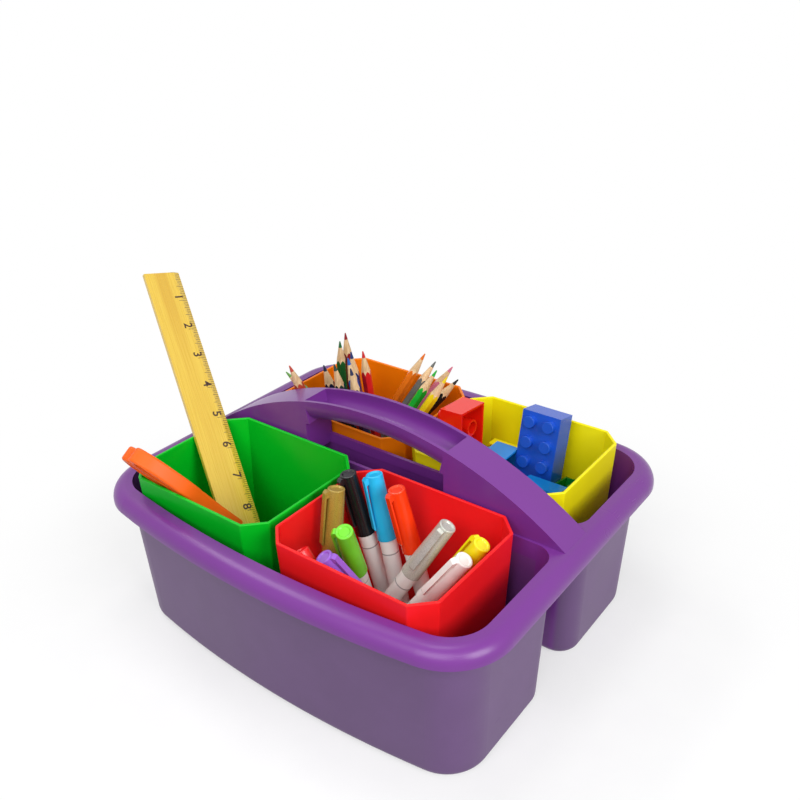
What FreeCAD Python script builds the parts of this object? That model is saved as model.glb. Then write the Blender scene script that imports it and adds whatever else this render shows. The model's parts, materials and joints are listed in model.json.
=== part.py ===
import FreeCAD, Part
import math
import os

from FreeCAD import Placement, Rotation, Vector

os.makedirs("parts", exist_ok=True)
doc = FreeCAD.newDocument("ArtCaddy")
sheet = doc.addObject("Spreadsheet::Sheet", "Sizes")

# ---------------------------------------------------------------- sizes, mm
SIZES = [
    # one-piece caddy: two bins, a rolled rim and a bowed handle between the bins
    ("rimHalfLength", 165, "outer edge of the rim, half its length"),
    ("rimHalfDepth", 149, "outer edge of the rim at mid length, half its depth"),
    ("rimBow", 17.5, "how far the long rim edges bow out"),
    ("rimCorner", 45, "corner radius of the rim's outer edge"),
    ("rimSkirt", 11.5, "height of the rolled rim"),
    ("rimTop", 117, "height of the rim's top face"),
    ("rimRound", 10, "roll of the rim's outer edge"),
    ("wall", 2.6, "wall of the moulding"),
    ("openHalfLength", 150, "bin mouth, half its length"),
    ("openFront", 133, "bin mouth, outer edge from the centre plane"),
    ("openBow", 13.5, "how far the outer edge of the mouth bows out"),
    ("openBack", 15.6, "bin mouth, inner edge from the centre plane"),
    ("openCornerFront", 28, "outer corners of the mouth"),
    ("openCornerBack", 14, "inner corners of the mouth"),
    ("mouthRound", 1.2, "round on the edge of each mouth"),
    ("draftOuter", 4.5, "how far the outer walls lean in at the base"),
    ("draftInner", 4, "how far the channel walls lean back at the base"),
    ("baseRound", 6.4, "round between walls and base"),
    ("handleTop", 167.7, "crown of the handle"),
    ("handleHalfSpan", 155, "handle, half its span at the rim"),
    ("handleHalfWidth", 14, "handle, half its width"),
    ("handleWall", 2.5, "wall of the handle"),
    ("handleEdge", 0.9, "round on the long edges of the handle"),
    ("gripHalfLength", 64, "open grip trough, half its length"),
    ("gripDepth", 18, "depth of the grip from its crown"),
    ("windowHalfLength", 62, "hand window, half its length"),
    ("sillHeight", 122.5, "lower edge of the hand window"),
    # four lift-out cups
    ("cupHalfLength", 64, "cup mouth, half its length"),
    ("cupHalfDepth", 54, "cup mouth, half its depth"),
    ("cupChamfer", 13.5, "cut corners of the cup"),
    ("cupTop", 130, "height of the cup's mouth"),
    ("cupDraft", 6, "how far each cup wall leans in at the base"),
    ("cupWall", 2.2, "wall of the cup"),
    ("cupSeat", 0.25, "gap under a seated cup"),
    ("cupFloor", 2.05, "floor of the cup"),
    ("cupLip", 0.7, "round on the cup's top edge"),
    ("cupEdge", 2.4, "round on the cup's upright edges"),
    ("cupBase", 2, "round at the foot of the cup"),
    ("seat", 0.1, "gap under a thing that stands on another"),
    ("greenX", -71, "cup centre"), ("greenY", -70, "cup centre"),
    ("redX", 62, "cup centre"), ("redY", -70, "cup centre"),
    ("orangeX", -66, "cup centre"), ("orangeY", 70, "cup centre"),
    ("yellowX", 67, "cup centre"), ("yellowY", 70, "cup centre"),
    # ruler
    ("rulerLength", 304.8, "twelve inches"),
    ("rulerWidth", 30, "width"),
    ("rulerThick", 3.2, "thickness"),
    ("rulerBevel", 1.6, "thickness left at the scale edge"),
    ("rulerBevelWidth", 5, "width of the sloping scale edge"),
    # scissors
    ("scissorLength", 203, "tip to the far end of the loops"),
    ("bladeLength", 100, "tip to the handle"),
    ("bladeThick", 1.5, "one blade"),
    ("bladeWidth", 11, "one blade at the pivot"),
    ("bladeGap", 0.15, "each blade to the plane between them"),
    ("pivotPlace", 88, "tip to the pivot"),
    ("pivotRadius", 3, "pivot screw"),
    ("pivotHead", 4.5, "head of the pivot screw"),
    ("pivotClear", 0.05, "running clearance of the pivot"),
    ("loopWidth", 19.5, "width of one finger loop"),
    ("loopLength", 62, "length of one finger loop"),
    ("loopBar", 4.6, "bar round a finger loop"),
    ("handleThick", 11, "thickness of the handles"),
    ("handleSplit", 0.4, "gap between the closed handles"),
    # marker
    ("markerLength", 137, "capped length"),
    ("barrelRadius", 6.2, "barrel"),
    ("barrelLength", 88, "barrel up to the cap"),
    ("barrelEnd", 1.8, "round on the barrel's foot"),
    ("ringPlace", 77, "ring line on the barrel"),
    ("ringWidth", 0.8, "ring line on the barrel"),
    ("ringDepth", 0.3, "ring line on the barrel"),
    ("neckRadius", 4.6, "neck that the cap goes over"),
    ("neckLength", 20, "neck"),
    ("noseLength", 9, "cone in front of the neck"),
    ("nibRadius", 1.5, "fibre tip"),
    ("nibLength", 7, "fibre tip"),
    ("capMouth", 7.1, "outer radius of the cap at its mouth"),
    ("capCrown", 5.8, "outer radius of the cap at its crown"),
    ("capWall", 1.2, "wall of the cap"),
    ("capEnd", 0.7, "round on the cap's crown"),
    ("capDish", 0.8, "hollow in the top of the cap"),
    ("capLand", 1.6, "flat ring round that hollow"),
    ("capGap", 0.15, "cap to barrel shoulder"),
    ("clipLength", 40, "pocket clip"),
    ("clipWidth", 4.2, "pocket clip"),
    ("clipThick", 1.3, "pocket clip"),
    ("clipReach", 8.8, "outer face of the clip from the cap's axis"),
    # pencil
    ("pencilLength", 175, "sharpened pencil"),
    ("pencilCorner", 4.04, "corner radius of the six-sided case"),
    ("pencilCone", 21, "length of the sharpened cone"),
    ("pencilPoint", 0.5, "radius of the lead's end"),
    # toy bricks
    ("brickPitch", 16, "stud to stud"),
    ("brickGap", 0.1, "brick edge to its grid line"),
    ("brickHeight", 19.2, "full brick"),
    ("plateHeight", 9.6, "half brick"),
    ("brickWall", 1.6, "wall of a brick"),
    ("studRadius", 4.7, "stud"),
    ("studHeight", 4.6, "stud"),
    ("studRound", 0.5, "round on a stud"),
    ("tubeRadius", 6.5, "tube under a brick"),
    ("tubeBore", 4.8, "bore of that tube"),
]
for row, (alias, number, note) in enumerate(SIZES, start=1):
    sheet.set("A%d" % row, alias)
    sheet.set("B%d" % row, str(number))
    sheet.set("C%d" % row, note)
    sheet.setAlias("B%d" % row, alias)
doc.recompute()


def size(alias):
    return float(sheet.get(alias))


# ---------------------------------------------------------------- helpers
subparts = []


def new_body(name):
    body = doc.addObject("PartDesign::Body", name)
    body.Label = name
    subparts.append(body)
    return body


def new_sketch(body, name, role, height=0.0, bound=None):
    sketch = body.newObject("Sketcher::SketchObject", name)
    plane = next(f for f in body.Origin.OriginFeatures if f.Role == role)
    sketch.AttachmentSupport = [(plane, "")]
    sketch.MapMode = "FlatFace"
    sketch.AttachmentOffset = Placement(Vector(0, 0, height), Rotation())
    if bound:
        sketch.setExpression("AttachmentOffset.Base.z", bound)
    return sketch


def add_loop(sketch, points):
    for start, end in zip(points, points[1:] + points[:1]):
        sketch.addGeometry(Part.LineSegment(Vector(*start, 0), Vector(*end, 0)), False)


def add_circle(sketch, x, y, radius):
    sketch.addGeometry(Part.Circle(Vector(x, y, 0), Vector(0, 0, 1), radius), False)


def pad(body, sketch, name, length, symmetric=False, backwards=False):
    feature = body.newObject("PartDesign::Pad", name)
    feature.Profile = sketch
    feature.SideType = "Symmetric" if symmetric else "One side"
    feature.Reversed = backwards
    feature.setExpression("Length", length)
    doc.recompute()
    return feature


def pocket(body, sketch, name, length, symmetric=False, backwards=False):
    before = body.Shape.Volume
    feature = body.newObject("PartDesign::Pocket", name)
    feature.Profile = sketch
    feature.SideType = "Symmetric" if symmetric else "One side"
    feature.Reversed = backwards
    feature.setExpression("Length", length)
    doc.recompute()
    assert body.Shape.Volume < before, name + " cut nothing"
    return feature


def loft(body, kind, name, first, second):
    feature = body.newObject(kind, name)
    feature.Profile = first
    feature.Sections = [second]
    feature.Ruled = True
    doc.recompute()
    return feature


def mirrored(body, feature, name, role):
    copy = body.newObject("PartDesign::Mirrored", name)
    copy.Originals = [feature]
    plane = next(f for f in body.Origin.OriginFeatures if f.Role == role)
    copy.MirrorPlane = (plane, [""])
    body.Tip = copy
    doc.recompute()
    return copy


def edges_where(shape, test):
    return ["Edge%d" % n for n, edge in enumerate(shape.Edges, start=1) if test(edge)]


def fillet(body, name, radius, test):
    base = body.Tip
    names = edges_where(base.Shape, test)
    assert names, name + " found no edge"
    feature = body.newObject("PartDesign::Fillet", name)
    feature.Base = (base, names)
    feature.setExpression("Radius", radius)
    doc.recompute()
    return feature


def level(edge, height, within=0.01):
    box = edge.BoundBox
    return abs(box.ZMin - height) < within and abs(box.ZMax - height) < within


# ---------------------------------------------------------------- caddy
def bowed_side(half_length, reach, bow, corner):
    """Right half of one bowed long edge: its corner's centre height and the arc's centre."""
    radius = (half_length ** 2 + bow ** 2) / (2 * bow)
    centre = reach - radius
    side = half_length - corner
    level_y = centre + math.sqrt((radius - corner) ** 2 - side ** 2)
    scale = radius / (radius - corner)
    touch = (side * scale, centre + (level_y - centre) * scale)
    ahead = math.atan2(touch[1] - level_y, touch[0] - side) / 2
    corner_mid = (side + corner * math.cos(ahead), level_y + corner * math.sin(ahead))
    return level_y, touch, corner_mid


def three_arc(sketch, a, b, c):
    sketch.addGeometry(Part.Arc(Vector(*a, 0), Vector(*b, 0), Vector(*c, 0)), False)


def line(sketch, a, b):
    sketch.addGeometry(Part.LineSegment(Vector(*a, 0), Vector(*b, 0)), False)


def rim_outline(sketch, inset):
    length = size("rimHalfLength") - inset
    reach = size("rimHalfDepth") - inset
    corner = size("rimCorner") - inset
    y, touch, mid = bowed_side(length, reach, size("rimBow"), corner)
    for side in (1, -1):
        three_arc(sketch, (side * -touch[0], side * touch[1]), (0, side * reach),
                  (side * touch[0], side * touch[1]))
        three_arc(sketch, (side * touch[0], side * touch[1]), (side * mid[0], side * mid[1]),
                  (side * length, side * y))
        line(sketch, (side * length, side * y), (side * length, side * -y))
        three_arc(sketch, (side * length, side * -y), (side * mid[0], side * -mid[1]),
                  (side * touch[0], side * -touch[1]))


def bin_outline(sketch, height, grow):
    """One bin's outline at a height, grown outwards from the mouth by a wall."""
    down = 1 - height / size("rimTop")
    length = size("openHalfLength") + grow - size("draftOuter") * down
    reach = size("openFront") + grow - size("draftOuter") * down
    back = size("openBack") - grow + size("draftInner") * down
    front_round = size("openCornerFront") + grow
    back_round = size("openCornerBack") + grow
    y, touch, mid = bowed_side(length, reach, size("openBow"), front_round)
    bend = back_round * (1 - math.sqrt(0.5))
    for side in (1, -1):
        three_arc(sketch, (side * touch[0], -touch[1]), (side * mid[0], -mid[1]), (side * length, -y))
        line(sketch, (side * length, -y), (side * length, -back - back_round))
        three_arc(sketch, (side * length, -back - back_round), (side * (length - bend), -back - bend),
                  (side * (length - back_round), -back))
    line(sketch, (length - back_round, -back), (back_round - length, -back))
    three_arc(sketch, (-touch[0], -touch[1]), (0, -reach), (touch[0], -touch[1]))


rim_top = size("rimTop")
wall = size("wall")
handle_rise = size("handleTop") - rim_top
handle_radius = (size("handleHalfSpan") ** 2 + handle_rise ** 2) / (2 * handle_rise)
handle_centre = size("handleTop") - handle_radius
sheet.set("A%d" % (len(SIZES) + 2), "handleCentre, below the handle")
sheet.set("B%d" % (len(SIZES) + 2), str(handle_centre))


def arc_height(x, radius):
    return handle_centre + math.sqrt(radius ** 2 - x ** 2)


def arc_reach(height, radius):
    return math.sqrt(radius ** 2 - (height - handle_centre) ** 2)


caddy = new_body("caddy_body")
rim_low = rim_top - size("rimSkirt")
sketch = new_sketch(caddy, "RimOutline", "XY_Plane", rim_low, "Sizes.rimTop - Sizes.rimSkirt")
rim_outline(sketch, 0)
pad(caddy, sketch, "Rim", "Sizes.rimSkirt")
sketch = new_sketch(caddy, "RimUnder", "XY_Plane", rim_low, "Sizes.rimTop - Sizes.rimSkirt")
rim_outline(sketch, wall)
pocket(caddy, sketch, "RimHollow", "Sizes.rimSkirt - Sizes.wall", backwards=True)
fillet(caddy, "RimHollowRoll", "Sizes.rimRound - Sizes.wall", lambda e: level(e, rim_top - wall))
fillet(caddy, "RimRoll", "Sizes.rimRound", lambda e: level(e, rim_top))

foot_outline = new_sketch(caddy, "BinFoot", "XY_Plane")
bin_outline(foot_outline, 0, wall)
mouth_height = rim_top - wall / 2
mouth_outline = new_sketch(caddy, "BinTop", "XY_Plane", mouth_height, "Sizes.rimTop - Sizes.wall / 2")
bin_outline(mouth_outline, mouth_height, wall)
bin_shell = loft(caddy, "PartDesign::AdditiveLoft", "BinShell", foot_outline, mouth_outline)
mirrored(caddy, bin_shell, "BinShellBack", "XZ_Plane")
fillet(caddy, "BaseRound", "Sizes.baseRound", lambda e: level(e, 0))

# handle: a solid bow first, hollowed out below
half_width = size("handleHalfWidth")
root = rim_top - wall / 4
sketch = new_sketch(caddy, "HandleBow", "XZ_Plane")
reach = arc_reach(root, handle_radius)
three_arc(sketch, (-reach, root), (0, size("handleTop")), (reach, root))
line(sketch, (reach, root), (-reach, root))
pad(caddy, sketch, "Handle", "2 * Sizes.handleHalfWidth", symmetric=True)

cavity_foot = new_sketch(caddy, "CavityFloor", "XY_Plane", wall, "Sizes.wall")
bin_outline(cavity_foot, wall, 0)
over = rim_top + wall / 2
cavity_mouth = new_sketch(caddy, "CavityMouth", "XY_Plane", over, "Sizes.rimTop + Sizes.wall / 2")
bin_outline(cavity_mouth, over, 0)
cavity = loft(caddy, "PartDesign::SubtractiveLoft", "Cavity", cavity_foot, cavity_mouth)
mirrored(caddy, cavity, "CavityBack", "XZ_Plane")
fillet(caddy, "FloorRound", "Sizes.baseRound - Sizes.wall", lambda e: level(e, wall))

handle_wall = size("handleWall")
inner_width = "2 * (Sizes.handleHalfWidth - Sizes.handleWall)"
grip = size("gripHalfLength")
window = size("windowHalfLength")
deep = rim_low - wall
inner_radius = handle_radius - handle_wall
for side, label in ((1, "Right"), (-1, "Left")):
    sketch = new_sketch(caddy, "Shoulder" + label, "XZ_Plane")
    start = window + handle_wall
    end = arc_reach(rim_top - wall, inner_radius)
    middle = (start + end) / 2
    line(sketch, (side * start, deep), (side * start, arc_height(start, inner_radius)))
    three_arc(sketch, (side * start, arc_height(start, inner_radius)),
              (side * middle, arc_height(middle, inner_radius)), (side * end, rim_top - wall))
    line(sketch, (side * end, rim_top - wall), (side * end, deep))
    line(sketch, (side * end, deep), (side * start, deep))
    pocket(caddy, sketch, "ShoulderHollow" + label, inner_width, symmetric=True)

sill = size("sillHeight")
sketch = new_sketch(caddy, "SillHollowOutline", "XZ_Plane")
add_loop(sketch, [(-window, deep), (window, deep), (window, sill + wall), (-window, sill + wall)])
pocket(caddy, sketch, "SillHollow", inner_width, symmetric=True)

under_radius = handle_radius - size("gripDepth")
sketch = new_sketch(caddy, "WindowOutline", "XZ_Plane")
line(sketch, (-window, sill), (window, sill))
line(sketch, (window, sill), (window, arc_height(window, under_radius)))
three_arc(sketch, (window, arc_height(window, under_radius)), (0, arc_height(0, under_radius)),
          (-window, arc_height(window, under_radius)))
line(sketch, (-window, arc_height(window, under_radius)), (-window, sill))
pocket(caddy, sketch, "Window", "2 * Sizes.handleHalfWidth + 2 * Sizes.wall", symmetric=True)


def revolve_cut(name, sketch, half_angle):
    before = caddy.Shape.Volume
    groove = caddy.newObject("PartDesign::Groove", name)
    groove.Profile = sketch
    groove.ReferenceAxis = (sketch, ["Axis0"])
    groove.Midplane = True
    groove.Angle = 2 * math.degrees(half_angle)
    doc.recompute()
    assert caddy.Shape.Volume < before, name + " cut nothing"


def bow_axis(sketch):
    axis = Part.LineSegment(Vector(-50, handle_centre, 0), Vector(50, handle_centre, 0))
    sketch.addGeometry(axis, True)


# the grip is a trough with a round belly, swept round the handle's own centre
straight = size("gripDepth") - half_width
crown = size("handleTop")
belly = crown - straight
for side, label in ((1, "Back"), (-1, "Front")):
    sketch = new_sketch(caddy, "Belly" + label, "YZ_Plane")
    bow_axis(sketch)
    below = belly - half_width - 1
    out = half_width + 1
    bend = math.sqrt(0.5) * half_width
    three_arc(sketch, (0, belly - half_width), (side * bend, belly - bend), (side * half_width, belly))
    add = [(side * half_width, belly), (side * out, belly), (side * out, below), (0, below),
           (0, belly - half_width)]
    for a, b in zip(add, add[1:]):
        line(sketch, a, b)
    revolve_cut("GripBelly" + label, sketch, math.asin(window / (handle_radius - straight)))

inner = half_width - handle_wall
sketch = new_sketch(caddy, "TroughOutline", "YZ_Plane")
bow_axis(sketch)
three_arc(sketch, (-inner, belly), (0, belly - inner), (inner, belly))
for a, b in (((inner, belly), (inner, crown + 1)), ((inner, crown + 1), (-inner, crown + 1)),
             ((-inner, crown + 1), (-inner, belly))):
    line(sketch, a, b)
revolve_cut("GripTrough", sketch, math.asin(grip / handle_radius))


# ---------------------------------------------------------------- cups
cup_foot = size("wall") + size("cupSeat")
cup_floor = cup_foot + size("cupFloor")
cup_top = size("cupTop")
cup_lean = math.degrees(math.atan(size("cupDraft") / (cup_top - cup_foot)))
CUPS = {"green": "cup_green", "red": "cup_red", "orange": "cup_orange", "yellow": "cup_yellow"}


def cup_outline(sketch, inset):
    x, y = size("cupHalfLength") - inset, size("cupHalfDepth") - inset
    cut = size("cupChamfer") - (2 - math.sqrt(2)) * inset
    add_loop(sketch, [(x, y - cut), (x - cut, y), (cut - x, y), (-x, y - cut),
                      (-x, cut - y), (cut - x, -y), (x - cut, -y), (x, cut - y)])


def make_cup(colour, name):
    body = new_body(name)
    sketch = new_sketch(body, name + "_outline", "XY_Plane", cup_top, "Sizes.cupTop")
    cup_outline(sketch, 0)
    solid = pad(body, sketch, name + "_block", "Sizes.cupTop - Sizes.wall - Sizes.cupSeat", backwards=True)
    solid.TaperAngle = -cup_lean
    doc.recompute()
    fillet(body, name + "_edges", "Sizes.cupEdge", lambda e: e.BoundBox.ZLength > cup_top / 2)
    fillet(body, name + "_base", "Sizes.cupBase", lambda e: level(e, cup_foot))
    sketch = new_sketch(body, name + "_mouth", "XY_Plane", cup_top, "Sizes.cupTop")
    cup_outline(sketch, size("cupWall"))
    depth = "Sizes.cupTop - Sizes.wall - Sizes.cupSeat - Sizes.cupFloor"
    hollow = pocket(body, sketch, name + "_inside", depth)
    hollow.TaperAngle = -cup_lean
    doc.recompute()
    fillet(body, name + "_lip", "Sizes.cupLip", lambda e: level(e, cup_top))
    body.setExpression("Placement.Base.x", "Sizes.%sX" % colour)
    body.setExpression("Placement.Base.y", "Sizes.%sY" % colour)


for colour, name in CUPS.items():
    make_cup(colour, name)


# ---------------------------------------------------------------- things that stand in the cups
def lean(colour, foot_x, foot_y, rim_x, rim_y, reach, turn=0, flat=None, end=0):
    """Stand an upright thing in a cup: where its foot is, where it crosses the cup's mouth.
    A foot with a round edge slides on down its own axis until that edge meets the floor."""
    rise = Vector(rim_x - foot_x, rim_y - foot_y, cup_top - cup_floor)
    tilt = math.acos(rise.z / rise.Length)
    foot = cup_floor + size("seat") + reach * math.sin(tilt)
    base = Vector(size(colour + "X") + foot_x, size(colour + "Y") + foot_y, foot)
    if flat is not None:
        drop = (reach - flat) * math.sin(tilt) - end * (1 - math.cos(tilt))
        base -= rise * (drop / rise.z)
    return Placement(base, Rotation(Vector(0, 0, 1), rise) * Rotation(Vector(0, 0, 1), turn))


def turned(body, name, points, feature="PartDesign::Revolution"):
    sketch = new_sketch(body, name, "XZ_Plane")
    add_loop(sketch, points)
    turn = body.newObject(feature, name + "_turn")
    turn.Profile = sketch
    turn.ReferenceAxis = (sketch, ["V_Axis"])
    turn.Angle = 360
    body.Tip = turn
    doc.recompute()
    return turn


# foot and mouth crossing from the cup's centre, then the way the clip faces
MARKERS = {
    "gold": (-48, -22.5, -49.5, 2, 245), "black": (-31.5, 39, -54.5, 24, 255),
    "sky": (-11.5, 30.5, -39, 32.5, 243), "vermilion": (8, 39, -15.5, 27, 258),
    "lime": (-41, 28.5, -21.5, -22.5, 205), "grey": (-41, 1, 27, 31, 270),
    "white": (-26.5, -2, 56.5, 11, 240), "yellow": (-17.5, 13, 56, 26, 160),
    "purple": (28, 10, -28, -45.5, 15), "red": (33.5, -38.5, -49, -43.5, 140),
}
MARKER_REACH = size("capMouth") + 0.3


def make_marker(name, place):
    barrel = new_body("marker_" + name)
    r, ring = size("barrelRadius"), size("ringPlace")
    deep, end = size("ringDepth"), size("barrelLength")
    neck = end + size("neckLength")
    nose = neck + size("noseLength")
    tip = nose + size("nibLength")
    turned(barrel, barrel.Label + "_profile", [
        (0, 0), (r, 0), (r, ring), (r - deep, ring), (r - deep, ring + size("ringWidth")),
        (r, ring + size("ringWidth")), (r, end), (size("neckRadius"), end),
        (size("neckRadius"), neck), (size("nibRadius") + 0.8, nose), (size("nibRadius"), nose),
        (size("nibRadius"), tip - 1), (0.6, tip), (0, tip)])
    fillet(barrel, barrel.Label + "_foot", "Sizes.barrelEnd", lambda e: level(e, 0))
    barrel.Placement = place

    cap = new_body("marker_" + name + "_cap")
    low, top, thick = end + size("capGap"), size("markerLength"), size("capWall")
    mouth, crown, dish = size("capMouth"), size("capCrown"), size("capDish")
    land = crown - size("capLand")
    turned(cap, cap.Label + "_profile", [
        (mouth - thick, low), (mouth, low), (crown, top), (land, top),
        (land - dish, top - dish), (0, top - dish), (0, top - 3),
        (crown - thick, top - 3)])
    fillet(cap, cap.Label + "_crown", "Sizes.capEnd", lambda e: level(e, top))
    sketch = new_sketch(cap, cap.Label + "_clip", "XZ_Plane")
    out, gap = size("clipReach"), size("clipReach") - size("clipThick")
    foot, root = top - size("clipLength"), crown - 0.7 * thick
    add_loop(sketch, [(root, top - 5), (gap, top - 6), (gap, foot + 3), (gap - 0.2, foot),
                      (out - 0.5, foot), (out, foot + 1), (out, top - 2.5), (out - 1.5, top - 0.8),
                      (root, top - 0.8)])
    pad(cap, sketch, cap.Label + "_clip_pad", "Sizes.clipWidth", symmetric=True)
    cap.Placement = place


for name, (fx, fy, rx, ry, turn) in MARKERS.items():
    make_marker(name, lean("red", fx, fy, rx, ry, MARKER_REACH, turn,
                           size("barrelRadius") - size("barrelEnd"), size("barrelEnd")))


# foot and mouth crossing from the cup's centre
PENCILS = {
    "navy_a": (-25, 18, -15, -29), "navy_b": (10, -10, 5, -38), "dark_green": (-48, 21, -29, -3),
    "maroon": (-37, 26, -29, 7), "blue": (19, -7, 10, -28), "navy_c": (25, -14, 21, -39),
    "red": (2, 14, 6, -10), "dark_blue": (-3, 6, 0, -17), "orange": (-50, -1, 13, 30),
    "grey": (-35, -32, 22, 39), "green": (-24, -38, 36, 16), "pink": (-48, 31, 37, 41),
    "yellow": (-19, -20, 50, 9), "black": (-49, 9, 49, 38), "light_red": (-29, 9, -34, -42),
    "light_green": (20, 34, -57, -26),
}
PENCIL_REACH = size("pencilCorner")


def make_pencil(name, place):
    body = new_body("pencil_" + name)
    r, length, cone = size("pencilCorner"), size("pencilLength"), size("pencilCone")
    sketch = new_sketch(body, body.Label + "_case", "XY_Plane")
    add_loop(sketch, [(r * math.cos(k * math.pi / 3), r * math.sin(k * math.pi / 3))
                      for k in range(6)])
    pad(body, sketch, body.Label + "_stick", "Sizes.pencilLength")
    point, far = size("pencilPoint"), r + 2
    slope = (r - point) / cone
    turned(body, body.Label + "_cone", [
        (point, length), (far, length - (far - point) / slope), (far, length + 1),
        (0, length + 1), (0, length)], "PartDesign::Groove")
    body.Placement = place


for name, (fx, fy, rx, ry) in PENCILS.items():
    make_pencil(name, lean("orange", fx, fy, rx, ry, PENCIL_REACH))


# ---------------------------------------------------------------- ruler
def frame(origin, across, along):
    """Local x across and local z along; y squares them up."""
    z = Vector(*along).normalize()
    x = Vector(*across)
    x = (x - z * x.dot(z)).normalize()
    y = z.cross(x)
    turn = FreeCAD.Matrix(x.x, y.x, z.x, 0, x.y, y.y, z.y, 0, x.z, y.z, z.z, 0, 0, 0, 0, 1)
    return Placement(Vector(*origin), Rotation(turn))


RULER_TOP = Vector(-210.2, 5.6, 226.2)
RULER_DOWN = Vector(0.633, -0.293, -0.717).normalize()
ruler = new_body("ruler")
sketch = new_sketch(ruler, "RulerSection", "XY_Plane")
wide, thick = size("rulerWidth"), size("rulerThick")
add_loop(sketch, [(0, -thick), (wide, -thick), (wide, 0), (size("rulerBevelWidth"), 0),
                  (0, size("rulerBevel") - thick)])
pad(ruler, sketch, "RulerBlank", "Sizes.rulerLength")
ruler_foot = RULER_TOP + RULER_DOWN * size("rulerLength")
ruler.Placement = frame(ruler_foot, (-0.25, -0.95, 0.17), -RULER_DOWN)


# ---------------------------------------------------------------- scissors
SCISSOR_TIP = (-24, -30.9, 6.2)
SCISSOR_AXIS = (-0.44, -0.50, 0.74)
SCISSOR_WIDTH = (0.90, -0.26, 0.36)
scissor_place = frame(SCISSOR_TIP, SCISSOR_WIDTH, SCISSOR_AXIS)
blade_gap, blade_thick = size("bladeGap"), size("bladeThick")
tang_in, tang_out, tang_end = 1.8, 5.6, 142


def make_blade(name, side):
    body = new_body(name)
    sketch = new_sketch(body, name + "_outline", "XZ_Plane")
    near, wide = size("bladeLength"), size("bladeWidth") / 2
    half = [(0.7, 0.3), (2.4, 20), (3.9, 45), (5.2, 75), (wide, size("pivotPlace"))]
    right = half + [(tang_out, near), (tang_out, tang_end), (tang_in, tang_end), (tang_in, near + 3)]
    left = [(-x, s) for x, s in reversed(half)]
    add_loop(sketch, [(side * x, s) for x, s in right + left])
    add_circle(sketch, 0, size("pivotPlace"), size("pivotRadius") + size("pivotClear"))
    offset = blade_gap if side < 0 else -blade_gap
    sketch.AttachmentOffset = Placement(Vector(0, 0, offset), Rotation())
    pad(body, sketch, name + "_plate", "Sizes.bladeThick", backwards=side > 0)
    body.Placement = scissor_place


def make_handle(name, side):
    body = new_body(name)
    sketch = new_sketch(body, name + "_outline", "XZ_Plane")
    split, start = size("handleSplit") / 2, size("bladeLength") + 7
    outside = [(6.6, start), (7.6, 118), (9.2, 131), (13.5, 144), (18.2, 157), (19.6, 171),
               (18.6, 187), (13.5, 199), (7.4, 202.6), (2.2, 198.5), (split, 190)]
    curve = Part.BSplineCurve()
    curve.interpolate(Points=[Vector(side * x, s, 0) for x, s in outside],
                      InitialTangent=Vector(side * 0.1, 1, 0), FinalTangent=Vector(0, -1, 0))
    sketch.addGeometry(curve, False)
    line(sketch, (side * split, 190), (side * split, start))
    line(sketch, (side * split, start), (side * 6.6, start))
    pad(body, sketch, name + "_solid", "Sizes.handleThick", symmetric=True)
    half_thick = size("handleThick") / 2
    rim = lambda e: abs(abs(e.BoundBox.YMin) - half_thick) < 0.01 and abs(e.BoundBox.YLength) < 0.01
    fillet(body, name + "_round", "Sizes.loopBar * 0.4", rim)
    sketch = new_sketch(body, name + "_loop", "XZ_Plane")
    middle, bar = side * (split + size("loopWidth") / 2), size("loopBar")
    low, high = size("scissorLength") - size("loopLength") + bar, size("scissorLength") - bar
    r = size("loopWidth") / 2 - bar
    three_arc(sketch, (middle - r, low + r), (middle, low), (middle + r, low + r))
    line(sketch, (middle + r, low + r), (middle + r, high - r))
    three_arc(sketch, (middle + r, high - r), (middle, high), (middle - r, high - r))
    line(sketch, (middle - r, high - r), (middle - r, low + r))
    pocket(body, sketch, name + "_hole", "2 * Sizes.handleThick", symmetric=True)
    sketch = new_sketch(body, name + "_slot", "XZ_Plane")
    fit = 0.02
    add_loop(sketch, [(side * (tang_in - fit), start - 1), (side * (tang_out + fit), start - 1),
                      (side * (tang_out + fit), tang_end + fit), (side * (tang_in - fit), tang_end + fit)])
    offset = blade_gap - fit if side < 0 else fit - blade_gap
    sketch.AttachmentOffset = Placement(Vector(0, 0, offset), Rotation())
    pocket(body, sketch, name + "_cut", "Sizes.bladeThick + 0.04", backwards=side < 0)
    body.Placement = scissor_place


make_blade("scissors_blade_a", 1)
make_blade("scissors_blade_b", -1)
make_handle("scissors_handle_a", 1)
make_handle("scissors_handle_b", -1)

pivot = new_body("scissors_pivot")
sketch = new_sketch(pivot, "PivotShank", "XZ_Plane")
add_circle(sketch, 0, size("pivotPlace"), size("pivotRadius"))
pad(pivot, sketch, "Pivot", "2 * (Sizes.bladeGap + Sizes.bladeThick + Sizes.pivotClear)", symmetric=True)
face = blade_gap + blade_thick + size("pivotClear")
for side, label in ((1, "Front"), (-1, "Back")):
    sketch = new_sketch(pivot, "PivotHead" + label, "XZ_Plane", side * face)
    add_circle(sketch, 0, size("pivotPlace"), size("pivotHead"))
    pad(pivot, sketch, "Head" + label, "Sizes.bladeThick / 3", backwards=side < 0)
pivot.Placement = scissor_place


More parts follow.
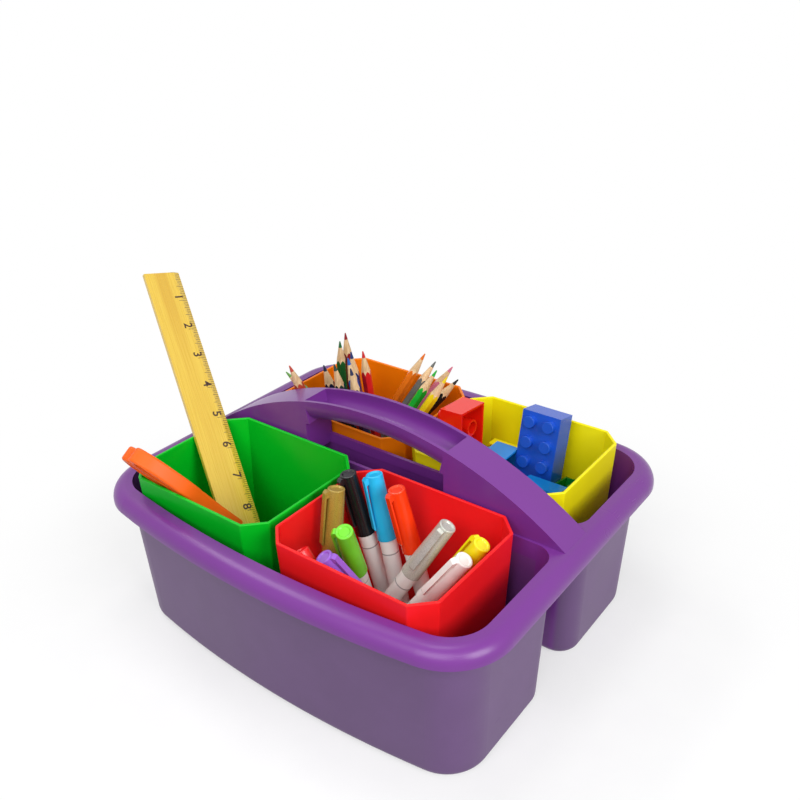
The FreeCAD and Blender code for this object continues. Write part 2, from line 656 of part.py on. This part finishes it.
# ---------------------------------------------------------------- toy bricks
def make_brick(name, studs, tall, place, plain=False):
    body = new_body(name)
    pitch, slack = size("brickPitch"), size("brickGap")
    x, y = studs * pitch / 2 - slack, pitch - slack
    height = size("brickHeight" if tall else "plateHeight")
    bound = "Sizes.brickHeight" if tall else "Sizes.plateHeight"
    sketch = new_sketch(body, name + "_outline", "XY_Plane")
    add_loop(sketch, [(-x, -y), (x, -y), (x, y), (-x, y)])
    pad(body, sketch, name + "_block", bound)
    skin = size("brickWall")
    sketch = new_sketch(body, name + "_hollow", "XY_Plane")
    add_loop(sketch, [(skin - x, skin - y), (x - skin, skin - y), (x - skin, y - skin),
                      (skin - x, y - skin)])
    pocket(body, sketch, name + "_inside", bound + " - Sizes.brickWall", backwards=True)
    sketch = new_sketch(body, name + "_tubes", "XY_Plane")
    for k in range(studs - 1):
        add_circle(sketch, (k + 1 - studs / 2) * pitch, 0, size("tubeRadius"))
        add_circle(sketch, (k + 1 - studs / 2) * pitch, 0, size("tubeBore"))
    pad(body, sketch, name + "_rings", bound + " - Sizes.brickWall")
    if not plain:
        sketch = new_sketch(body, name + "_studs", "XY_Plane", height, bound)
        for k in range(studs):
            for row in (-0.5, 0.5):
                add_circle(sketch, (k + 0.5 - studs / 2) * pitch, row * pitch, size("studRadius"))
        pad(body, sketch, name + "_stud_pads", "Sizes.studHeight")
        stud_top = height + size("studHeight")
        fillet(body, name + "_stud_round", "Sizes.studRound", lambda e: level(e, stud_top))
    body.Placement = place


def brick_at(middle, across, along, tall=True):
    """A brick by its middle, the way its length runs and the way its studs face."""
    place = frame(middle, across, along)
    half = size("brickHeight" if tall else "plateHeight") / 2
    shift = place.Rotation.multVec(Vector(0, 0, -half))
    return Placement(place.Base + shift, place.Rotation)


# name, studs long, full height, middle, length runs, studs face
LEAN, LEAN_FACE = (0, 0.22, 0.975), (0, -0.975, 0.22)
BRICKS = [
    ("brick_blue", 8, True, (76, 91.44, 79.21), LEAN, LEAN_FACE),
    ("brick_sky_front", 6, True, (93, 61.08, 53.98), LEAN, LEAN_FACE),
    ("brick_sky_back", 6, True, (50.1, 76.5, 62.7), (0, 0, 1), (-1, 0, 0)),
    ("brick_red", 8, True, (22.62, 66.99, 80.4), (-0.045, 0.10, 0.994), (-0.999, 0, -0.045)),
    ("brick_yellow", 6, False, (43.8, 104.8, 53.0), (0, 0, 1), (0, 1, 0)),
    ("brick_green", 2, True, (108.1, 93.5, 80.9), (1, 0, 0), (0, -0.22, -0.975)),
]
make_brick("brick_tile", 6, False, Placement(Vector(62, 82, 5), Rotation()), plain=True)
for name, studs, tall, middle, across, along in BRICKS:
    make_brick(name, studs, tall, brick_at(middle, across, along, tall))


# ---------------------------------------------------------------- check and write
doc.recompute()
for item in doc.Objects:
    bad = {"Invalid", "Error"} & set(item.State)
    assert not bad, "%s is %s" % (item.Name, bad)
for sub in subparts:
    shape = sub.Shape
    assert not shape.isNull() and shape.isValid(), sub.Label
    assert len(shape.Solids) == 1, "%s has %d solids" % (sub.Label, len(shape.Solids))
    shape.exportStep("parts/%s.step" % sub.Label)
print(len(subparts), "parts")
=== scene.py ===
import json
import math

import bmesh
import bpy
from mathutils import Matrix, Vector


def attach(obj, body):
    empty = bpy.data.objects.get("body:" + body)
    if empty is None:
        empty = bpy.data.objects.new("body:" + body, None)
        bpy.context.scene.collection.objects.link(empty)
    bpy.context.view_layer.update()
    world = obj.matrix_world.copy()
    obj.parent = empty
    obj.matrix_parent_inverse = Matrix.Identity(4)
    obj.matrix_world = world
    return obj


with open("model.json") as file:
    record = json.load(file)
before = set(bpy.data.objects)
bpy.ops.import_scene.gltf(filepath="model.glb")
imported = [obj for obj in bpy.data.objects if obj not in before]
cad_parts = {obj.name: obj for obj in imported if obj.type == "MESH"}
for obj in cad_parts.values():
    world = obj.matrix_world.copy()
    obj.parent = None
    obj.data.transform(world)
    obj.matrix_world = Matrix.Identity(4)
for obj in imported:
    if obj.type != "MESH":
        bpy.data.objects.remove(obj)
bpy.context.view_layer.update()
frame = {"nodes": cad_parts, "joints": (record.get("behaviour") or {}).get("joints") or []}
nodes = frame["nodes"]
joints = {joint["name"]: joint for joint in frame["joints"]}
MM = 0.001
INCH = 25.4


# ------------------------------------------------------------ shader building blocks
class Shader:
    """One node-built finish; each method adds a node and hands back its output."""

    def __init__(self, name):
        self.material = bpy.data.materials.new(name)
        self.material.use_nodes = True
        self.tree = self.material.node_tree
        self.surface = self.tree.nodes["Principled BSDF"]
        coordinates = self.tree.nodes.new("ShaderNodeTexCoord")
        self.where = coordinates.outputs["Object"]
        self.normal = coordinates.outputs["Normal"]

    def link(self, source, target):
        self.tree.links.new(source, target)

    def put(self, value, socket):
        if isinstance(value, bpy.types.NodeSocket):
            self.link(value, socket)
        else:
            socket.default_value = value

    def value(self, socket, number):
        self.surface.inputs[socket].default_value = number

    def to(self, output, socket):
        self.link(output, self.surface.inputs[socket])

    def maths(self, operation, a, b=0.0, c=0.0):
        node = self.tree.nodes.new("ShaderNodeMath")
        node.operation = operation
        for value, socket in zip((a, b, c), node.inputs):
            self.put(value, socket)
        return node.outputs[0]

    def vector(self, operation, a, b=(0, 0, 0), output="Vector"):
        node = self.tree.nodes.new("ShaderNodeVectorMath")
        node.operation = operation
        self.put(a, node.inputs[0])
        self.put(b, node.inputs[1])
        return node.outputs[output]

    def noise(self, scale, detail=2.0, rough=0.5, where=None, stretch=None):
        where = where or self.where
        if stretch:
            where = self.vector("MULTIPLY", where, stretch)
        node = self.tree.nodes.new("ShaderNodeTexNoise")
        node.inputs["Scale"].default_value = scale
        node.inputs["Detail"].default_value = detail
        node.inputs["Roughness"].default_value = rough
        self.link(where, node.inputs["Vector"])
        return node.outputs["Fac"]

    def ramp(self, factor, low, high, to_low, to_high):
        node = self.tree.nodes.new("ShaderNodeMapRange")
        node.interpolation_type = "SMOOTHSTEP"
        limits = {"From Min": low, "From Max": high, "To Min": to_low, "To Max": to_high}
        for name, number in limits.items():
            node.inputs[name].default_value = number
        self.link(factor, node.inputs["Value"])
        return node.outputs["Result"]

    def mix(self, factor, first, second, blend="MIX"):
        node = self.tree.nodes.new("ShaderNodeMix")
        node.data_type = "RGBA"
        node.blend_type = blend
        self.put(factor, node.inputs["Factor"])
        for value, socket in ((first, node.inputs["A"]), (second, node.inputs["B"])):
            self.put(value if isinstance(value, bpy.types.NodeSocket) else (*value, 1), socket)
        return node.outputs["Result"]

    def bump(self, height, strength, distance):
        node = self.tree.nodes.new("ShaderNodeBump")
        node.inputs["Strength"].default_value = strength
        node.inputs["Distance"].default_value = distance
        self.link(height, node.inputs["Height"])
        if self.surface.inputs["Normal"].is_linked:
            self.link(self.surface.inputs["Normal"].links[0].from_socket, node.inputs["Normal"])
        self.to(node.outputs["Normal"], "Normal")


def shade(colour, amount):
    return tuple(min(1.0, max(0.0, part * amount)) for part in colour)


def dress(node_name, material):
    thing = nodes[node_name]
    thing.data.materials.clear()
    thing.data.materials.append(material)


GLOW_REACH = 6 * MM


def moulded(name, colour, rough=0.28, flow=0.06, orange_peel=0.05, glow=0.0, ior=1.4):
    """Moulded plastic: faint flow marks, orange peel, uneven gloss, fine scuffs.

    flow is how far the colour drifts, orange_peel the strength of the bumps, and glow the
    share of light that passes into the wall and comes out beside it.
    """
    s = Shader(name)
    drift = s.noise(9, 3, 0.5)
    flow_marks = s.noise(60, 2, 0.6, stretch=(1.0, 1.0, 0.25))
    base = s.mix(s.ramp(drift, 0.3, 0.7, 0, 1), shade(colour, 1 - flow), shade(colour, 1 + flow))
    base = s.mix(s.ramp(flow_marks, 0.45, 0.8, 0, 0.25), base, shade(colour, 1 + 2 * flow))
    s.to(base, "Base Color")
    scuffs = s.noise(420, 4, 0.7, stretch=(1, 0.15, 1))
    gloss = s.maths("ADD", s.ramp(drift, 0.25, 0.75, rough - 0.05, rough + 0.06),
                    s.ramp(scuffs, 0.62, 0.75, 0, 0.12))
    s.to(gloss, "Roughness")
    s.bump(s.noise(700, 2, 0.5), orange_peel, 0.06 * MM)
    s.bump(s.noise(120, 2, 0.5), orange_peel * 1.5, 0.2 * MM)
    s.value("IOR", ior)
    if glow:
        s.value("Subsurface Weight", glow)
        s.value("Subsurface Radius", (GLOW_REACH, GLOW_REACH, GLOW_REACH))
        s.value("Subsurface Scale", 1.0)
    return s.material


# ------------------------------------------------------------ caddy and cups
PURPLE = (0.165, 0.029, 0.250)
# paler, greyer purple for the outer walls below the rim: painted sheen of the white surroundings
SHEEN_GREYED_WALL_PURPLE = (0.122, 0.060, 0.170)
RIM_UNDERSIDE = 105.5 * MM


def caddy_plastic():
    """Gloss on the rim and handle; the outer walls have a finely etched finish, and their paler,
    greyer purple is painted sheen.
    """
    s = Shader("caddy_purple")
    height = s.vector("DOT_PRODUCT", s.where, (0, 0, 1), "Value")
    from_middle = s.vector("NORMALIZE", s.vector("MULTIPLY", s.where, (1, 1, 0)))
    outward = s.vector("DOT_PRODUCT", s.normal, from_middle, "Value")
    # mask of the outer walls below the rim: it etches them (roughness and bump) and paints their
    # sheen into the colour
    etched_and_sheen = s.maths("MULTIPLY", s.ramp(height, RIM_UNDERSIDE - 2 * MM, RIM_UNDERSIDE, 1, 0),
                     s.ramp(outward, 0.0, 0.3, 0, 1))
    drift = s.noise(7, 3, 0.5)
    cloud = s.noise(26, 3, 0.6)
    gloss = s.mix(s.ramp(drift, 0.3, 0.7, 0, 1), shade(PURPLE, 0.95), shade(PURPLE, 1.05))
    # painted sheen: the outer walls take the paler, greyer purple
    wall_sheen_colour = s.mix(s.ramp(cloud, 0.3, 0.7, 0, 1), shade(SHEEN_GREYED_WALL_PURPLE, 0.96), shade(SHEEN_GREYED_WALL_PURPLE, 1.04))
    s.to(s.mix(etched_and_sheen, gloss, wall_sheen_colour), "Base Color")
    scuffs = s.ramp(s.noise(420, 4, 0.7, stretch=(1, 0.15, 1)), 0.62, 0.75, 0, 0.10)
    smooth = s.maths("ADD", s.ramp(drift, 0.25, 0.75, 0.26, 0.35), scuffs)
    s.to(s.maths("MULTIPLY_ADD", etched_and_sheen, 0.12, smooth), "Roughness")
    grain = s.noise(1500, 2, 0.6)
    s.bump(s.maths("MULTIPLY", grain, etched_and_sheen), 0.25, 0.08 * MM)
    s.bump(s.noise(600, 2, 0.5), 0.05, 0.05 * MM)
    s.value("IOR", 1.45)
    return s.material


dress("caddy_body", caddy_plastic())

CUP_COLOURS = {
    "cup_green": (0.0, 0.48, 0.015), "cup_red": (0.88, 0.011, 0.013),
    "cup_orange": (0.92, 0.21, 0.001), "cup_yellow": (0.92, 0.80, 0.004),
}
for cup, colour in CUP_COLOURS.items():
    dress(cup, moulded(cup + "_polypropylene", colour, rough=0.33, flow=0.04, glow=0.12, ior=1.33))


# ------------------------------------------------------------ things that lie along an axis
def axis_of(lift):
    return Vector(joints[lift]["axis"]).normalized()


def foot_along(node_name, axis):
    """The point on a node's own centre line where it starts along the axis."""
    points = [v.co for v in nodes[node_name].data.vertices]
    low = min(p.dot(axis) for p in points)
    ring = [p for p in points if p.dot(axis) < low + 0.5 * MM]
    middle = sum(ring, Vector()) / len(ring)
    return middle + axis * (low - middle.dot(axis))


def distance_along(s, start, axis):
    """Distance from the start along the axis, in millimetres."""
    offset = s.vector("SUBTRACT", s.where, tuple(start))
    return s.maths("MULTIPLY", s.vector("DOT_PRODUCT", offset, tuple(axis), "Value"), 1 / MM)


def distance_out(s, foot, axis):
    """Distance out from the axis through the foot, in millimetres."""
    offset = s.vector("SUBTRACT", s.where, tuple(foot))
    across = s.vector("CROSS_PRODUCT", offset, tuple(axis))
    return s.maths("MULTIPLY", s.vector("LENGTH", across, output="Value"), 1 / MM)


def band(s, value, low, high, soft=0.05):
    rise = s.ramp(value, low - soft, low + soft, 0, 1)
    fall = s.ramp(value, high - soft, high + soft, 1, 0)
    return s.maths("MULTIPLY", rise, fall)


# ------------------------------------------------------------ markers
INKS = {
    "gold": (0.40, 0.27, 0.045), "black": (0.010, 0.011, 0.013), "sky": (0.020, 0.50, 0.88),
    "vermilion": (0.92, 0.05, 0.006), "lime": (0.16, 0.66, 0.02), "grey": (0.54, 0.56, 0.50),
    "white": (0.95, 0.94, 0.90), "yellow": (0.92, 0.78, 0.008), "purple": (0.30, 0.11, 0.62),
    "red": (0.80, 0.012, 0.016),
}
PEARL_INKS = ("gold", "grey")
BARREL_END = 88.0
RING_LOW, RING_HIGH = 76.9, 77.9
NIB_START = 117.0
BARREL_WHITE = (0.94, 0.95, 0.93)
RING_GREY = (0.42, 0.42, 0.42)
NECK_GREY = (0.55, 0.55, 0.56)


def marker_cap(name, ink, foot, axis):
    """Smooth gloss cap, with painted shade at its mouth, where it meets the barrel."""
    s = Shader("marker_%s_cap_gloss" % name)
    along = distance_along(s, foot, axis)
    base = s.mix(s.ramp(s.noise(60, 2), 0.35, 0.65, 0, 1), shade(ink, 0.95), shade(ink, 1.04))
    # painted shade: the last 2 mm of the cap at its mouth darken towards 0.7 of the ink
    base = s.mix(s.ramp(along, BARREL_END, BARREL_END + 2, 0.3, 0), base, shade(ink, 0.7))
    s.to(base, "Base Color")
    s.to(s.ramp(s.noise(160, 2, 0.5), 0.3, 0.75, 0.20, 0.27), "Roughness")
    s.bump(s.noise(600, 2, 0.5), 0.02, 0.04 * MM)
    s.value("IOR", 1.5)
    if name in PEARL_INKS:
        pearl = s.ramp(s.noise(2600, 1), 0.45, 0.7, 0.05, 0.45)
        s.to(pearl, "Metallic")
    return s.material


def marker_barrel(name, ink, foot, axis):
    """White barrel with a grey ring, grey neck and an ink-soaked fibre nib."""
    s = Shader("marker_%s_barrel_gloss" % name)
    along = distance_along(s, foot, axis)
    cloud = s.ramp(s.noise(70, 2), 0.35, 0.65, 0, 1)
    base = s.mix(cloud, shade(BARREL_WHITE, 0.97), BARREL_WHITE)
    base = s.mix(band(s, along, RING_LOW, RING_HIGH), base, RING_GREY)
    base = s.mix(band(s, along, BARREL_END + 0.05, NIB_START), base, NECK_GREY)
    fibre = s.mix(s.ramp(s.noise(1800, 2), 0.4, 0.6, 0, 1), shade(ink, 0.6), ink)
    base = s.mix(s.ramp(along, NIB_START, NIB_START + 0.1, 0, 1), base, fibre)
    s.to(base, "Base Color")
    s.to(s.ramp(along, NIB_START - 0.5, NIB_START + 0.5, 0.24, 0.85), "Roughness")
    s.bump(s.noise(600, 2, 0.5), 0.02, 0.04 * MM)
    s.value("IOR", 1.5)
    return s.material


for name, ink in INKS.items():
    axis = axis_of("marker_%s_lift" % name)
    foot = foot_along("marker_" + name, axis)
    dress("marker_" + name, marker_barrel(name, ink, foot, axis))
    dress("marker_%s_cap" % name, marker_cap(name, ink, foot, axis))


# ------------------------------------------------------------ pencils
PAINTS = {
    "navy_a": (0.012, 0.02, 0.06), "navy_b": (0.02, 0.06, 0.05), "navy_c": (0.012, 0.02, 0.08),
    "dark_green": (0.008, 0.14, 0.03), "maroon": (0.30, 0.012, 0.02), "blue": (0.01, 0.12, 0.50),
    "red": (0.70, 0.015, 0.02), "dark_blue": (0.01, 0.03, 0.16), "orange": (0.85, 0.19, 0.01),
    "grey": (0.12, 0.13, 0.12), "green": (0.01, 0.42, 0.03), "pink": (0.78, 0.22, 0.34),
    "yellow": (0.90, 0.70, 0.01), "black": (0.015, 0.015, 0.016), "light_red": (0.60, 0.08, 0.05),
    "light_green": (0.14, 0.38, 0.07),
}
PENCIL_LENGTH, LEAD_SHOWN, LEAD_RADIUS = 175.0, 5.5, 1.6


def painted_pencil(name, paint, foot, axis):
    """Lacquered case, scalloped where the sharpener cut it, bare cedar and a coloured lead."""
    s = Shader("pencil_%s_lacquer" % name)
    along, out = distance_along(s, foot, axis), distance_out(s, foot, axis)
    facing = s.vector("DOT_PRODUCT", s.normal, tuple(axis), "Value")
    cut = s.ramp(facing, 0.06, 0.10, 0, 1)
    grain = s.noise(900, 3, 0.6, where=s.vector("MULTIPLY", s.where, (1.0, 1.0, 0.12)))
    cedar = s.mix(s.ramp(grain, 0.35, 0.65, 0, 1), (0.66, 0.43, 0.22), (0.80, 0.58, 0.33))
    lacquer = s.mix(s.ramp(s.noise(120, 2), 0.3, 0.7, 0, 1), shade(paint, 0.92), shade(paint, 1.08))
    lead = s.maths("GREATER_THAN", along, PENCIL_LENGTH - LEAD_SHOWN)
    bare = s.mix(lead, cedar, shade(paint, 0.9))
    foot_end = s.maths("LESS_THAN", facing, -0.5)
    core = s.maths("LESS_THAN", out, LEAD_RADIUS)
    end = s.mix(core, cedar, shade(paint, 0.9))
    base = s.mix(cut, lacquer, bare)
    base = s.mix(foot_end, base, end)
    s.to(base, "Base Color")
    dull = s.maths("MAXIMUM", cut, foot_end)
    s.to(s.maths("MULTIPLY_ADD", dull, 0.35, 0.25), "Roughness")
    s.bump(grain, 0.15, 0.08 * MM)
    return s.material


for name, paint in PAINTS.items():
    axis = axis_of("pencil_%s_lift" % name)
    foot = foot_along("pencil_" + name, axis)
    dress("pencil_" + name, painted_pencil(name, paint, foot, axis))


# ------------------------------------------------------------ scissors
def ground_steel(name):
    s = Shader(name)
    brushed = s.noise(220, 3, 0.6, stretch=(6.0, 1.0, 1.0))
    streaks = s.ramp(brushed, 0.3, 0.7, 0, 1)
    s.to(s.mix(streaks, (0.50, 0.51, 0.53), (0.66, 0.67, 0.69)), "Base Color")
    s.to(s.ramp(brushed, 0.3, 0.7, 0.24, 0.38), "Roughness")
    s.bump(brushed, 0.08, 0.05 * MM)
    s.value("Metallic", 1.0)
    return s.material


steel = ground_steel("scissor_ground_steel")
for node_name in ("scissors_blade_a", "scissors_blade_b", "scissors_pivot"):
    dress(node_name, steel)
ORANGE = (0.90, 0.125, 0.006)
handle_plastic = moulded("scissor_handle_orange", ORANGE, rough=0.42, flow=0.05, ior=1.35)
for node_name in ("scissors_handle_a", "scissors_handle_b"):
    dress(node_name, handle_plastic)


# ------------------------------------------------------------ toy bricks
BRICK_COLOURS = {
    "brick_blue": (0.010, 0.082, 0.54), "brick_sky_front": (0.010, 0.24, 0.68),
    "brick_sky_back": (0.010, 0.24, 0.68), "brick_red": (0.86, 0.012, 0.004),
    "brick_yellow": (0.88, 0.75, 0.006), "brick_green": (0.004, 0.22, 0.025),
    "brick_tile": (0.010, 0.082, 0.54),
}
for brick, colour in BRICK_COLOURS.items():
    dress(brick, moulded(brick + "_gloss", colour, rough=0.20, flow=0.03, orange_peel=0.03))


# ------------------------------------------------------------ ruler
RULER_UP = axis_of("ruler_lift")
RULER_ACROSS = Vector((-0.25, -0.95, 0.17))
RULER_ACROSS = (RULER_ACROSS - RULER_UP * RULER_ACROSS.dot(RULER_UP)).normalized()
RULER_OUT = RULER_UP.cross(RULER_ACROSS)
ruler_points = [v.co for v in nodes["ruler"].data.vertices]
RULER_TOP = max(p.dot(RULER_UP) for p in ruler_points)
SCALE_EDGE = min(p.dot(RULER_ACROSS) for p in ruler_points)
PRINTED_FACE = max(p.dot(RULER_OUT) for p in ruler_points)
RULER_CORNER = RULER_UP * RULER_TOP + RULER_ACROSS * SCALE_EDGE + RULER_OUT * PRINTED_FACE
FACE_BAND = 1.65
TICK_LENGTH = 3.4
LONGER_TICKS = {2: 0.8, 4: 0.9, 8: 1.1, 16: 1.6}
NUMBER_HEIGHT, NUMBER_PLACE = 9.4 * MM, 10.2 * MM


def ruler_wood(name):
    """Yellow lacquered wood with a darker streak of grain, and the scale printed along one edge."""
    s = Shader(name)
    down = distance_along(s, RULER_CORNER, -RULER_UP)
    over = distance_along(s, RULER_CORNER, RULER_ACROSS)
    deep = distance_along(s, RULER_CORNER, -RULER_OUT)
    place = s.tree.nodes.new("ShaderNodeCombineXYZ")
    for value, socket in zip((over, down, deep), place.inputs):
        s.link(value, socket)
    place = place.outputs["Vector"]
    grain = s.noise(1.0, 4, 0.6, where=place, stretch=(1.1, 0.02, 0.6))
    flecks = s.noise(1.0, 2, 0.5, where=place, stretch=(6.0, 0.25, 3.0))
    wander = s.maths("MULTIPLY_ADD", grain, 5.0, s.maths("SUBTRACT", over, 2.5))
    streak = band(s, wander, 11.5, 21.5, 1.2)
    base = s.mix(s.ramp(grain, 0.3, 0.7, 0, 1), (0.69, 0.445, 0.036), (0.76, 0.52, 0.056))
    fade = s.ramp(down, 20, 90, 0.75, 0.2)
    base = s.mix(s.maths("MULTIPLY", streak, fade), base, (0.62, 0.36, 0.022))
    base = s.mix(s.ramp(flecks, 0.58, 0.78, 0, 0.15), base, (0.50, 0.27, 0.02))
    sixteenths = s.maths("MULTIPLY", down, 16 / INCH)
    nearest = s.maths("ROUND", sixteenths)
    part_off = s.maths("ABSOLUTE", s.maths("SUBTRACT", sixteenths, nearest))
    off_line = s.maths("MULTIPLY", part_off, INCH / 16)
    length = TICK_LENGTH
    for step, extra in LONGER_TICKS.items():
        left_over = s.maths("PINGPONG", nearest, step / 2)
        length = s.maths("MULTIPLY_ADD", s.maths("LESS_THAN", left_over, 0.25), extra, length)
    on_line = s.ramp(off_line, 0.17, 0.26, 1, 0)
    reached = s.maths("LESS_THAN", over, length)
    on_face = s.maths("LESS_THAN", deep, FACE_BAND)
    scale = s.maths("MULTIPLY", s.maths("MULTIPLY", on_line, reached), on_face)
    base = s.mix(s.maths("MULTIPLY", scale, 0.9), base, (0.07, 0.030, 0.010))
    s.to(base, "Base Color")
    s.to(s.ramp(grain, 0.2, 0.8, 0.22, 0.34), "Roughness")
    s.bump(grain, 0.12, 0.2 * MM)
    s.value("Coat Weight", 0.6)
    s.value("Coat Roughness", 0.12)
    return s.material


dress("ruler", ruler_wood("ruler_lacquered_wood"))


def ink(name, colour):
    s = Shader(name)
    s.to(s.mix(s.ramp(s.noise(2500, 2), 0.4, 0.7, 0, 1), colour, shade(colour, 1.6)), "Base Color")
    s.value("Roughness", 0.4)
    return s.material


def ruler_numbers():
    """Inch numbers read down the ruler, their tops towards the scale edge."""
    read, rise = -RULER_UP, -RULER_ACROSS
    parts = []
    for inch in range(1, 12):
        text = bpy.data.curves.new("inch_%d" % inch, "FONT")
        text.body = str(inch)
        text.size = NUMBER_HEIGHT
        text.offset = 0.18 * MM
        text.align_x = "RIGHT"
        text.extrude = 0.04 * MM
        thing = bpy.data.objects.new("inch_%d" % inch, text)
        bpy.context.collection.objects.link(thing)
        bpy.context.view_layer.update()
        graph = bpy.context.evaluated_depsgraph_get()
        flat = bpy.data.meshes.new_from_object(thing.evaluated_get(graph))
        bpy.data.objects.remove(thing)
        corner = RULER_CORNER - RULER_UP * (inch * INCH - 0.9) * MM + RULER_ACROSS * NUMBER_PLACE
        turn = Matrix((read, rise, RULER_OUT)).transposed().to_4x4()
        turn.translation = corner + RULER_OUT * 0.03 * MM
        flat.transform(turn)
        parts.append(flat)
    bm = bmesh.new()
    for flat in parts:
        bm.from_mesh(flat)
        bpy.data.meshes.remove(flat)
    bmesh.ops.remove_doubles(bm, verts=bm.verts, dist=1e-7)
    bmesh.ops.recalc_face_normals(bm, faces=bm.faces)
    mesh = bpy.data.meshes.new("ruler_numbers")
    bm.to_mesh(mesh)
    bm.free()
    piece = bpy.data.objects.new("ruler_numbers", mesh)
    bpy.context.collection.objects.link(piece)
    mesh.materials.append(ink("ruler_printing_ink", (0.035, 0.012, 0.006)))
    return piece


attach(ruler_numbers(), "ruler")


# ------------------------------------------------------------ floor, light and camera
def seen_directly(tree, path):
    """One where a ray comes from the camera, or from it by way of metal or glass."""
    seen = path.outputs["Is Camera Ray"]
    for kind in ("Is Glossy Ray", "Is Transmission Ray"):
        either = tree.nodes.new("ShaderNodeMath")
        either.operation = "MAXIMUM"
        tree.links.new(seen, either.inputs[0])
        tree.links.new(path.outputs[kind], either.inputs[1])
        seen = either.outputs[0]
    return seen


FLOOR_RADIUS = 30
SHADOW_REACH, WHITE_FROM = 0.20, 0.38
SHADOW_WHITE = 0.5
FLOOR_BOUNCE = (0.42, 0.42, 0.42)


def floor_sheet():
    """White paper; the mix leaves it its shadow close to the object and whitens it further out."""
    bm = bmesh.new()
    bmesh.ops.create_circle(bm, cap_ends=True, segments=96, radius=FLOOR_RADIUS)
    mesh = bpy.data.meshes.new("studio_floor")
    bm.to_mesh(mesh)
    bm.free()
    floor = bpy.data.objects.new("studio_floor", mesh)
    bpy.context.collection.objects.link(floor)
    s = Shader("studio_floor_paper")
    paper = s.mix(s.ramp(s.noise(30, 2), 0.3, 0.7, 0, 1), (0.86, 0.86, 0.865), (0.88, 0.88, 0.88))
    path = s.tree.nodes.new("ShaderNodeLightPath")
    s.to(s.mix(path.outputs["Is Diffuse Ray"], paper, FLOOR_BOUNCE), "Base Color")
    s.value("Roughness", 0.9)
    glow = s.tree.nodes.new("ShaderNodeEmission")
    away = s.vector("LENGTH", s.where, output="Value")
    far = s.ramp(away, SHADOW_REACH, WHITE_FROM, SHADOW_WHITE, 1)
    seen = seen_directly(s.tree, path)
    both = s.tree.nodes.new("ShaderNodeMixShader")
    s.link(s.maths("MULTIPLY", far, seen), both.inputs[0])
    s.link(s.surface.outputs[0], both.inputs[1])
    s.link(glow.outputs[0], both.inputs[2])
    s.link(both.outputs[0], s.tree.nodes["Material Output"].inputs["Surface"])
    mesh.materials.append(s.material)
    return floor


floor_sheet()


def softbox(name, place, aim, wide, high, watts):
    lamp = bpy.data.lights.new(name, "AREA")
    lamp.shape = "RECTANGLE"
    lamp.size, lamp.size_y = wide, high
    lamp.energy = watts
    thing = bpy.data.objects.new(name, lamp)
    bpy.context.collection.objects.link(thing)
    thing.location = place
    thing.rotation_euler = (Vector(aim) - Vector(place)).to_track_quat("-Z", "Y").to_euler()


MIDDLE = (0, 0, 0.10)
softbox("softbox_top", (-0.08, 0.02, 1.50), MIDDLE, wide=0.45, high=0.35, watts=2.6)
softbox("softbox_left", (-0.84, -0.16, 1.30), MIDDLE, wide=0.80, high=0.32, watts=5.0)
softbox("softbox_front", (0.40, -1.25, 1.15), MIDDLE, wide=1.3, high=0.9, watts=15)
softbox("softbox_right", (1.35, -0.30, 0.85), (0, 0, 0.08), wide=0.8, high=0.8, watts=14.5)

ROOM_LIGHT = 0.31
world = bpy.data.worlds.new("white_studio")
world.use_nodes = True
bpy.context.scene.world = world
tree = world.node_tree
background = tree.nodes["Background"]
path = tree.nodes.new("ShaderNodeLightPath")
level = tree.nodes.new("ShaderNodeMapRange")
level.inputs["To Min"].default_value = ROOM_LIGHT
level.inputs["To Max"].default_value = 1.0
tree.links.new(seen_directly(tree, path), level.inputs["Value"])
tree.links.new(level.outputs["Result"], background.inputs["Strength"])
background.inputs["Color"].default_value = (1, 1, 1, 1)


def stand_camera(azimuth, elevation, distance, target, roll, lens):
    az, el, roll = (math.radians(angle) for angle in (azimuth, elevation, roll))
    back = Vector((math.sin(az) * math.cos(el), -math.cos(az) * math.cos(el), math.sin(el)))
    right = (-back).cross(Vector((0, 0, 1))).normalized()
    up = right.cross(-back)
    turned_right = right * math.cos(roll) + up * math.sin(roll)
    turned_up = up * math.cos(roll) - right * math.sin(roll)
    place = Matrix((turned_right, turned_up, back)).transposed().to_4x4()
    place.translation = Vector(target) + back * distance
    eye = bpy.data.cameras.new("camera")
    eye.sensor_width = 36
    eye.lens = lens
    eye.clip_start = 0.01
    eye.clip_end = 100
    thing = bpy.data.objects.new("camera", eye)
    bpy.context.collection.objects.link(thing)
    thing.matrix_world = place
    bpy.context.scene.camera = thing


stand_camera(azimuth=37.5, elevation=27.31, distance=0.51354,
             target=(0.07141, -0.07211, 0.22568), roll=-1.26, lens=40.14)
bpy.context.scene.view_settings.view_transform = "Standard"
